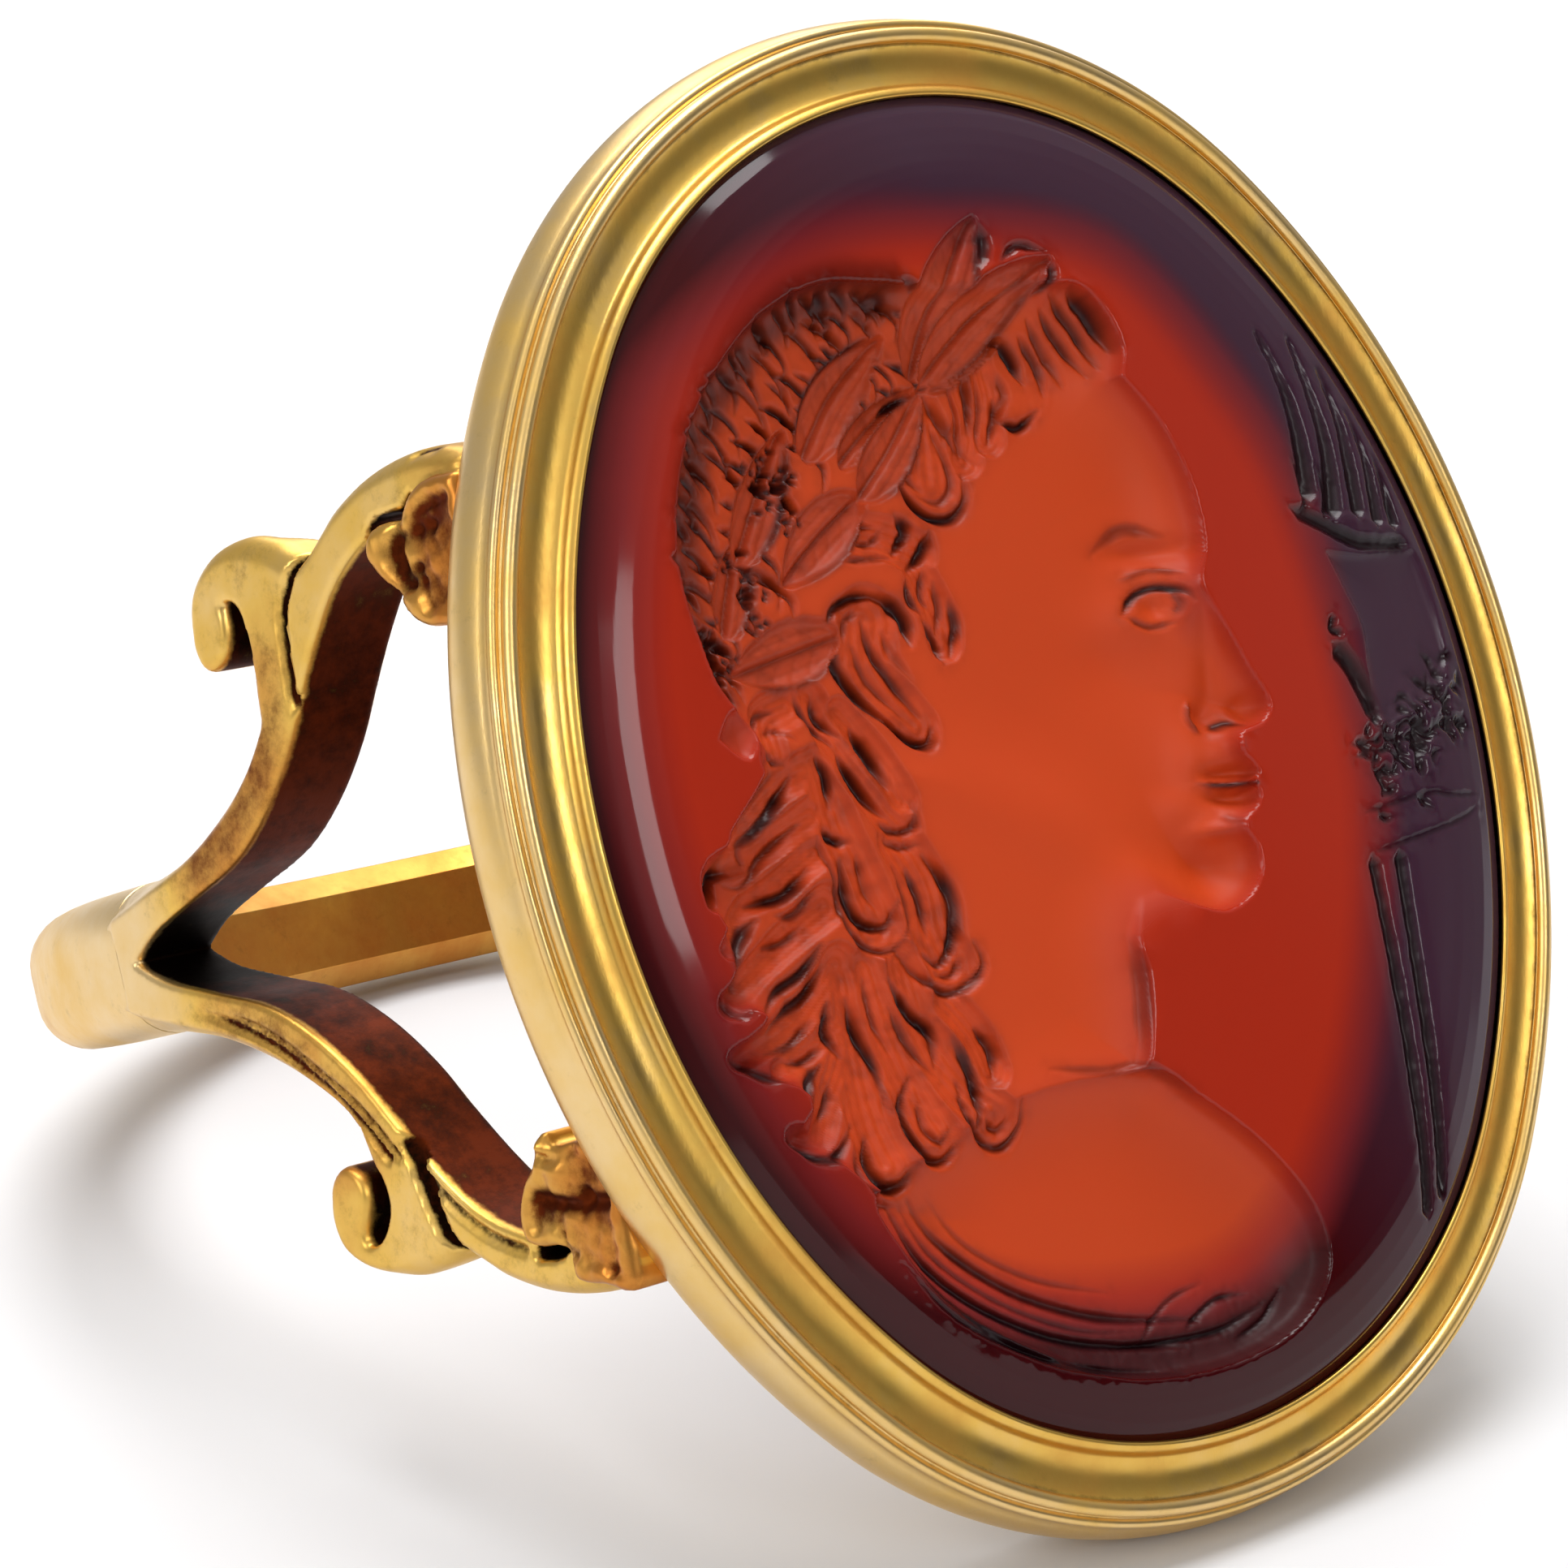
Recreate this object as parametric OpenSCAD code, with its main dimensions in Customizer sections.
// Gold finger ring with an oval carnelian intaglio, lying on its side.
// It is drawn first in the ring's own frame and then tilted down onto the surface:
// X runs across the finger, Y runs out of the stone's face, Z runs along the finger,
// and the origin is the middle of the oval where the lip meets the stone.

/* [Stone and bezel] */
// Half of the stone's visible length, along the finger
stone_half_l = 9.6; // [9:0.1:10.2]
// Half of the stone's visible width, across the finger
stone_half_w = 7.7; // [7.3:0.1:8.2]
// Radius of the oval's two end arcs
end_arc_r = 6.75; // [6.5:0.05:6.9]
// Width of the gold moulding round the stone
moulding_w = 1.35; // [1.3:0.05:1.4]
// Depth of the bezel from the lip to its back
bezel_depth = 1.9; // [1.8:0.1:2]
// Reach of the open back's ledge under the stone
ledge_reach = 1.8; // [1.4:0.1:2]
// Thickness of the ledge
ledge_t = 0.45; // [0.4:0.05:0.5]
// Turn of the oval in its own plane, as the bezel is soldered a little askew
oval_turn = 5; // [0:1:6]
// Gap between the stone and the metal
stone_gap = 0.06; // [0.05:0.01:0.1]
// Height of the stone's flat front above the lip
table_h = 0.32; // [0.2:0.02:0.4]
// Width of the sloping edge round the stone's front
slope_w = 0.8; // [0.6:0.05:1]

/* [Shank] */
// Radius of the finger hole
finger_r = 9.1; // [8.6:0.1:9.4]
// Radial thickness of the shank and its shoulders
shank_t = 1.35; // [1.2:0.05:1.5]
// Width of the shank where it meets the shoulders
shank_w = 2.3; // [2.1:0.1:2.5]
// Width of the shank opposite the bezel
shank_back_w = 2.1; // [1.9:0.1:2.3]
// Distance from the lip plane back to the middle of the finger hole
finger_back = 11.75; // [11.6:0.05:12]
// Offset of the shank along the finger from the middle of the oval
shank_offset = 0.2; // [0:0.1:0.4]
// Angle past the widest point at which a shoulder leaves the round of the finger hole
flank_angle = 15.5; // [14:0.5:17]
// Bevel along the shank's inner edges
inner_bevel = 0.4; // [0.3:0.05:0.5]
// Rounding of the shank's outer edges
outer_round = 0.5; // [0.4:0.05:0.6]

/* [Scrolls and leaves] */
// Radius of the scroll's curled end
curl_r = 1.17; // [1.1:0.01:1.2]
// Width of the slot inside the curl
curl_slot = 0.34; // [0.3:0.02:0.4]
// Depth of the groove engraved between the scroll and the arm
groove_depth = 0.35; // [0.2:0.05:0.5]
// Width of the engraved groove
groove_w = 0.14; // [0.1:0.02:0.2]
// Height of the carved leaf over the outer face of the arm
leaf_proud = 0.2; // [0.1:0.05:0.3]
// Radius of the leaf's middle lobe
lobe_r = 0.75; // [0.65:0.05:0.8]

/* [Fineness] */
// Number of steps round the bezel
bezel_sectors = 72; // [60:12:84]
// Number of points round each ring of the stone's front
carve_sectors = 84; // [60:12:96]
// Number of rings across the carved table
carve_rings = 30; // [20:2:34]
// Scale of every carved depth
carve_scale = 1; // [0.5:0.1:1.1]

/* [Hidden] */
fine = 0.02;
shank_r = finger_r + shank_t;

// Four-centre oval: end arcs of end_arc_r centred on Z, side arcs centred on X
end_c = stone_half_l - end_arc_r;
side_c = (pow(end_c, 2) - pow(stone_half_w - end_arc_r, 2)) / (2 * (stone_half_w - end_arc_r));
side_arc_r = stone_half_w + side_c;
join_a = atan2(end_c, side_c);

function arc(c, r, from, to, steps) =
    [for (i = [0:steps]) let (a = from + (to - from) * i / steps) c + r * [cos(a), sin(a)]];
function oval_point(a, offset) =
    let (q = abs(cos(a)) > cos(join_a) ? [-sign(cos(a)) * side_c, 0] : [0, sign(sin(a)) * end_c],
         r = abs(cos(a)) > cos(join_a) ? side_arc_r : end_arc_r)
    q + (r + offset) * [cos(a), sin(a)];

// Section of the bezel: column 1 is the distance out from the stone's visible edge,
// column 2 the height above the lip plane
pocket_out = 0.36;
pocket_floor = ledge_t - bezel_depth;
band_mid = [moulding_w - 0.5, -0.8];
band_back = [for (p = arc([0, 0], 1, -80, 48, 9)) band_mid + [0.5 * p.x, 0.64 * p.y]];
reed = arc([moulding_w - 0.245, -0.19], 0.075, -40, 140, 4);
bead = arc([moulding_w - 0.43, -0.06], 0.11, -35, 200, 7);
cove = arc([0.5, 0.41], 0.595, -58, -120, 7);
lip = [[0.17, -0.02], [0.12, 0.04], [0.03, 0.075], [0, 0.03]];
bezel_section = concat([[-ledge_reach, -bezel_depth], [0.7, -bezel_depth]], band_back, reed, bead, cove, lip,
    [[pocket_out, -0.34], [pocket_out, pocket_floor], [-ledge_reach, pocket_floor]]);

// Resting tilt: the bezel's back edge and the far edge of the shank both touch the surface
oval_reach = end_c * cos(oval_turn) + end_arc_r;
edge_r = shank_r - outer_round;
edge_half = shank_w / 2 + fine - outer_round;
far_half = shank_back_w / 2 + 0.01;
far_r = edge_r + sqrt(pow(outer_round, 2) - pow(far_half - edge_half, 2));
function bezel_low(t) = min([for (p = bezel_section) p.y * sin(t) - (oval_reach + p.x) * cos(t)]);
function shank_low(t) = -(finger_back + far_r) * sin(t) + (shank_offset - far_half) * cos(t);
function rest_tilt(low, high, rounds) =
    let (t = (low + high) / 2)
    rounds == 0 ? t : shank_low(t) > bezel_low(t) ? rest_tilt(t, high, rounds - 1) : rest_tilt(low, t, rounds - 1);
tilt = rest_tilt(15, 35, 16);
front_y = max([for (p = bezel_section) p.y * cos(tilt) + (oval_reach + p.x) * sin(tilt)]);
back_y = -(finger_back + edge_r) * cos(tilt) - (shank_offset + edge_half) * sin(tilt) - outer_round;
place = [0, -(front_y + back_y) / 2, -bezel_low(tilt)];

// Shoulder seen from the side: column 1 is the height above the lip plane,
// column 2 the distance from the middle plane of the shank
scroll_outer = [[-10.45, 1.12], [-9.3, 1.17], [-8.3, 1.4], [-7.25, 1.92], [-6.5, 2.52],
    [-6.02, 3.1], [-5.82, 3.6], [-5.76, 4.1]];
fork_edge = [[-10.1, -0.05], [-9.3, 0.36], [-8.35, 0.66], [-7.25, 1.02], [-6.4, 1.6], [-5.7, 2.3], [-5.1, 3.1],
    [-4.6, 3.75], [-4.05, 4.32], [-3.4, 4.72], [-2.6, 4.95], [-1.1, 4.95]];
arm_outer = [[-1.1, 5.5], [-1.7, 5.7], [-2.4, 5.72], [-3.1, 5.6], [-3.75, 5.32], [-4.25, 4.95], [-4.52, 4.5],
    [-4.6, 4]];
groove_line = [[-8.2, 1.06], [-7.2, 1.58], [-6.27, 2.25], [-5.65, 2.92], [-5.2, 3.45], [-4.98, 3.95],
    [-4.85, 4.4], [-4.62, 4.85]];
curl_c = [-5.9, 4.08];
curl_side_c = [-5.45, 4.3];
curl_side_r = 0.9;
curl_tip_z = 3.55;

// Smooth curve through the points of a table
function spline(t, steps) =
    [for (i = [0:len(t) - 2], j = [0:steps - 1])
        let (p0 = t[max(i - 1, 0)], p1 = t[i], p2 = t[i + 1], p3 = t[min(i + 2, len(t) - 1)], s = j / steps)
        0.5 * (2 * p1 + (p2 - p0) * s + (2 * p0 - 5 * p1 + 4 * p2 - p3) * pow(s, 2)
            + (3 * p1 - p0 - 3 * p2 + p3) * pow(s, 3)), t[len(t) - 1]];
function flip(t) = [for (i = [len(t) - 1:-1:0]) t[i]];
function ribbon(t, w) =
    let (side = [for (i = [0:len(t) - 1])
        let (d = t[min(i + 1, len(t) - 1)] - t[max(i - 1, 0)]) w / 2 * [-d.y, d.x] / norm(d)])
    concat([for (i = [0:len(t) - 1]) t[i] + side[i]], [for (i = [len(t) - 1:-1:0]) t[i] - side[i]]);

// Outer face of a shoulder in plan: where it leaves the shank's circle, and where it ends in the bezel
flank_start = [shank_r * cos(flank_angle), -finger_back + shank_r * sin(flank_angle)];
flank_dir = [-sin(flank_angle), cos(flank_angle)];
function flank_at(y, depth) =
    let (s = (y - flank_start.y + depth * sin(flank_angle)) / flank_dir.y)
    flank_start + s * flank_dir - depth * [cos(flank_angle), sin(flank_angle)];
arm_end_y = -1;

// Leaf at the end of an arm, seen from the side: lobes as height, distance and size, then its two veins
leaf_lobes = [[-1.75, 3.95, 0.8], [-2.2, 4.5, 1], [-1.7, 5.15, 0.75]];
leaf_veins = [[[-2.75, 4.12], [-2.1, 4.35], [-1, 4.4]], [[-2.5, 5.05], [-2, 4.85], [-1, 4.8]]];

// Hollows of the intaglio: centre right and up as seen from the front,
// half length, half width, turn, depth
H_X = 0;
H_Z = 1;
H_L = 2;
H_W = 3;
H_TURN = 4;
H_DEPTH = 5;
skull = [-1.9, 4.2, 3.3, 3.1, 60, 0.55];
crown_leaves = [1.2, 6.3, 1.9, 0.9, -20, 0.5];
face = [0.9, 2.2, 3.7, 1.95, 80, 0.5];
ear_lock = [-1.6, 2.9, 1.5, 0.9, 100, 0.55];
hair_fall = [-4.3, -1.7, 3.5, 1.9, 95, 0.5];
neck = [-1.2, -2.9, 2.4, 1.45, 80, 0.42];
shoulder = [-1.3, -6.2, 2.9, 2, -25, 0.5];
drapery = [-3.1, -7, 3, 0.8, -32, 0.38];
torch_flame = [6.1, 3.6, 1.7, 0.9, 110, 0.3];
torch_cup = [6.2, 0.5, 1.3, 0.95, 75, 0.34];
torch_leaves = [6, -1.4, 1.2, 0.75, 10, 0.3];
torch_shaft = [4.4, -5.2, 2.9, 0.4, 76, 0.26];
hollows = [skull, crown_leaves, face, ear_lock, hair_fall, neck, shoulder, drapery, torch_flame, torch_cup,
    torch_leaves, torch_shaft];
stone_edge_out = pocket_out - stone_gap;
stone_edge_y = -0.35;
stone_back_y = pocket_floor + stone_gap;

function hollow_depth(h, x, z) =
    let (dx = x - h[H_X], dz = z - h[H_Z], c = cos(h[H_TURN]), s = sin(h[H_TURN]),
         u = (dx * c + dz * s) / h[H_L], v = (dz * c - dx * s) / h[H_W], q = 1 - u * u - v * v)
    q > 0 ? h[H_DEPTH] * sqrt(q) : 0;
function carve(x, z) = carve_scale * max([for (h = hollows) hollow_depth(h, -x, z)]);

// Ring of the bezel's section round the oval
module oval_bezel() {
    n = bezel_sectors;
    m = len(bezel_section);
    points = [for (i = [0:n - 1], p = bezel_section) let (q = oval_point(360 * i / n, p.x)) [q.x, p.y, q.y]];
    skin = [for (i = [0:n - 1], k = [0:m - 1]) let (j = (i + 1) % n, l = (k + 1) % m)
        each [[i * m + k, j * m + k, j * m + l], [i * m + k, j * m + l, i * m + l]]];
    polyhedron(points, skin);
}

// Room that a bezel side takes from the ends of the arms
module bezel_side_room() {
    back = [for (p = arc([0, 0], 1, -80, 10, 7)) band_mid + [(0.5 + fine) * p.x, (0.64 + fine) * p.y]];
    translate([-side_c, 0, 0]) rotate([-90, 0, 0])
        rotate_extrude(angle = 2 * join_a, start = -join_a, $fn = 160) translate([side_arc_r, 0])
            polygon(concat([[-2.5, 0.3], [-2.5, -bezel_depth - fine], [0.7, -bezel_depth - fine]], back,
                [[band_mid.x + 0.5 + fine, 0.3]]));
}

module shank() {
    half = shank_w / 2 + fine;
    crown = arc([shank_r - outer_round, half - outer_round], outer_round, 90, 0, 5);
    section = concat([[finger_r, inner_bevel - half], [finger_r, half - inner_bevel],
        [finger_r + inner_bevel, half]], crown, [for (p = flip(crown)) [p.x, -p.y]],
        [[finger_r + inner_bevel, -half]]);
    taper = shank_back_w / 2;
    intersection() {
        translate([0, -finger_back, 0]) rotate_extrude($fn = 200) polygon(section);
        translate([-2 * shank_r, 0, 0]) rotate([90, 0, 90]) linear_extrude(4 * shank_r)
            polygon([[-10.35, -shank_w / 2], [-10.35, shank_w / 2], [-12, shank_w / 2],
                [-finger_back - shank_r - 1, taper], [-finger_back - shank_r - 1, -taper], [-12, -shank_w / 2]]);
    }
}

// Wall of a shoulder in plan, from proud above its outer face to depth below it
module flank_wall(depth, proud) {
    outer = arc([0, -finger_back], shank_r + proud - fine, 5, flank_angle, 6);
    inner = arc([0, -finger_back], shank_r - depth + fine, flank_angle, 5, 6);
    translate([0, 0, -8]) linear_extrude(16)
        polygon(concat(outer, [flank_at(arm_end_y, fine - proud), flank_at(arm_end_y, depth - fine)], inner));
}

module side_view(length) {
    rotate([90, 0, 90]) linear_extrude(length) children();
}

module branch_outline() {
    polygon(concat(spline(scroll_outer, 3), [curl_side_c], flip(spline(arm_outer, 3)),
        flip(spline(fork_edge, 3)), [[-10.45, -0.05]]));
    difference() {
        union() {
            translate(curl_c) circle(r = curl_r, $fn = 60);
            translate(curl_side_c) circle(r = curl_side_r, $fn = 60);
        }
        translate([curl_c.x - 0.2, 1]) square([curl_slot, curl_c.y + 0.5 - 1]);
        translate([curl_c.x - 3, 1]) square([2.85, curl_tip_z - 1]);
    }
}

module shoulder_branch() {
    difference() {
        intersection() {
            flank_wall(shank_t, 0);
            side_view(shank_r + 2) branch_outline();
        }
        intersection() {
            flank_wall(groove_depth, 0.5);
            side_view(shank_r + 2) polygon(ribbon(spline(groove_line, 3), groove_w));
        }
    }
}

module leaf() {
    difference() {
        intersection() {
            flank_wall(shank_t, leaf_proud);
            side_view(shank_r + 2) {
                for (lobe = leaf_lobes) translate([lobe.x, lobe.y]) circle(r = lobe.z * lobe_r, $fn = 40);
                translate([-1.9, 3.6]) square([0.8, 1.9]);
            }
        }
        intersection() {
            flank_wall(groove_depth - leaf_proud, 0.5);
            side_view(shank_r + 2) for (vein = leaf_veins) polygon(ribbon(vein, groove_w));
        }
    }
}

module shoulders() {
    for (across = [0, 1], along = [0, 1])
        mirror([across, 0, 0]) mirror([0, 0, along]) {
            shoulder_branch();
            leaf();
        }
}

module split_shank() {
    color("goldenrod") difference() {
        translate([0, 0, shank_offset]) {
            shank();
            shoulders();
        }
        rotate([0, oval_turn, 0]) bezel_side_room();
        rotate([0, oval_turn + 180, 0]) bezel_side_room();
    }
}

module bezel() {
    color("gold") rotate([0, oval_turn, 0]) oval_bezel();
}

module intaglio_stone() {
    n = carve_sectors;
    slope = [stone_edge_out, 0, -0.35 * slope_w, -0.7 * slope_w, -slope_w, -1.3 * slope_w];
    slope_y = [stone_edge_y, -0.05, 0.4 * table_h, 0.8 * table_h, 0.95 * table_h, table_h];
    last = len(slope) - 1;
    front = [for (k = [0:last], i = [0:n - 1]) let (q = oval_point(360 * i / n + 1, slope[k]), y = slope_y[k])
        [q.x, y - carve(q.x, q.y), q.y]];
    table = [for (k = [1:carve_rings - 1], i = [0:n - 1])
        let (q = oval_point(360 * i / n + 1, slope[last]) * (1 - k / carve_rings))
        [q.x, table_h - carve(q.x, q.y), q.y]];
    back = [for (i = [0:n - 1]) let (q = oval_point(360 * i / n + 1, stone_edge_out)) [q.x, stone_back_y, q.y]];
    rings = last + carve_rings;
    points = concat(front, table, [[0, table_h - carve(0, 0), 0]], back);
    tip = rings * n;
    skin = [for (k = [0:rings - 2], i = [0:n - 1]) let (j = (i + 1) % n)
        each [[k * n + i, k * n + j, (k + 1) * n + j], [k * n + i, (k + 1) * n + j, (k + 1) * n + i]]];
    cap = [for (i = [0:n - 1]) [(rings - 1) * n + i, (rings - 1) * n + (i + 1) % n, tip]];
    edge = [for (i = [0:n - 1]) let (j = (i + 1) % n)
        each [[i, tip + 1 + i, tip + 1 + j], [i, tip + 1 + j, j]]];
    floor = [[for (i = [0:n - 1]) tip + 1 + n - 1 - i]];
    color("firebrick") rotate([0, oval_turn, 0]) polyhedron(points, concat(skin, cap, edge, floor));
}

module at_rest() {
    translate(place) rotate([tilt, 0, 0]) children();
}

at_rest() split_shank();
at_rest() bezel();
at_rest() intaglio_stone();
